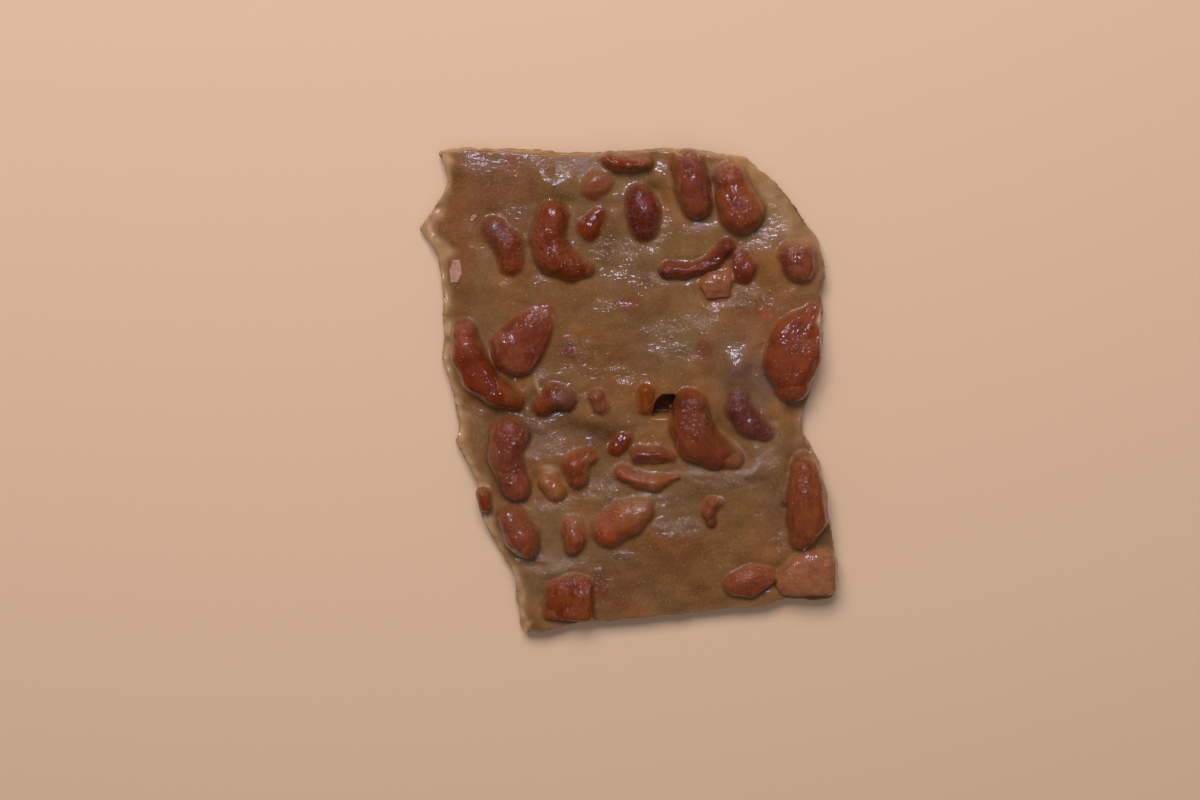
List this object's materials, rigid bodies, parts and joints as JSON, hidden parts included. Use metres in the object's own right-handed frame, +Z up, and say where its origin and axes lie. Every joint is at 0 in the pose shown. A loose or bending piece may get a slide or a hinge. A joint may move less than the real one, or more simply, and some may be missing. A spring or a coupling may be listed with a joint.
{
  "type": "cashew brittle piece",
  "caption": "Broken slab of amber caramel candy with roasted cashews and nut bits set in its glossy, uneven upper face, lying flat.",
  "frame": {"origin": "on the flat underside, at the middle of the slab's length and width", "axes": "+Z up out of the nutty face, +Y along the slab's length towards its straight broken top edge, +X across it to the right"},
  "size_m": [0.1094, 0.1306, 0.0103],
  "materials": {
    "candy": "hard caramel candy, translucent amber to olive brown, greasy gloss with a fine grain",
    "roasted_nut": "roasted cashew under a thin coat of candy, red brown, glossy and finely wrinkled",
    "sunk_nut": "roasted cashew under a thicker layer of candy, dark purple brown",
    "cut_nut": "broken nut face, pale orange brown, slightly rough"
  },
  "bodies": {
    "root": {"candy": "candy", "cashew_big_right_edge": "roasted_nut", "cashew_corner": "roasted_nut", "cashew_diagonal": "roasted_nut", "cashew_hooked": "roasted_nut", "cashew_large_middle": "roasted_nut", "cashew_long": "roasted_nut", "cashew_lower_left": "roasted_nut", "cashew_lower_right_edge": "roasted_nut", "cashew_split_right": "roasted_nut", "cashew_sunk_left": "sunk_nut", "cashew_sunk_right": "sunk_nut", "cashew_sunk_top": "sunk_nut", "cashew_top_bean": "roasted_nut", "cashew_top_middle": "roasted_nut", "cashew_upright": "roasted_nut", "chip_by_bubble": "cut_nut", "chip_coated": "cut_nut", "chip_curl": "cut_nut", "chip_dark": "roasted_nut", "chip_heart": "roasted_nut", "chip_left_edge": "roasted_nut", "chip_pale": "cut_nut", "chip_petal": "roasted_nut", "chip_small_middle": "roasted_nut", "chip_triangle": "roasted_nut", "chunk_cut_face": "cut_nut", "chunk_square": "roasted_nut", "half_bottom": "roasted_nut", "half_hook": "roasted_nut", "half_leaf": "roasted_nut", "half_low_left": "roasted_nut", "half_middle": "roasted_nut", "half_rim_middle": "roasted_nut", "half_rim_top": "roasted_nut", "half_wavy": "roasted_nut"}
  },
  "joints": []
}
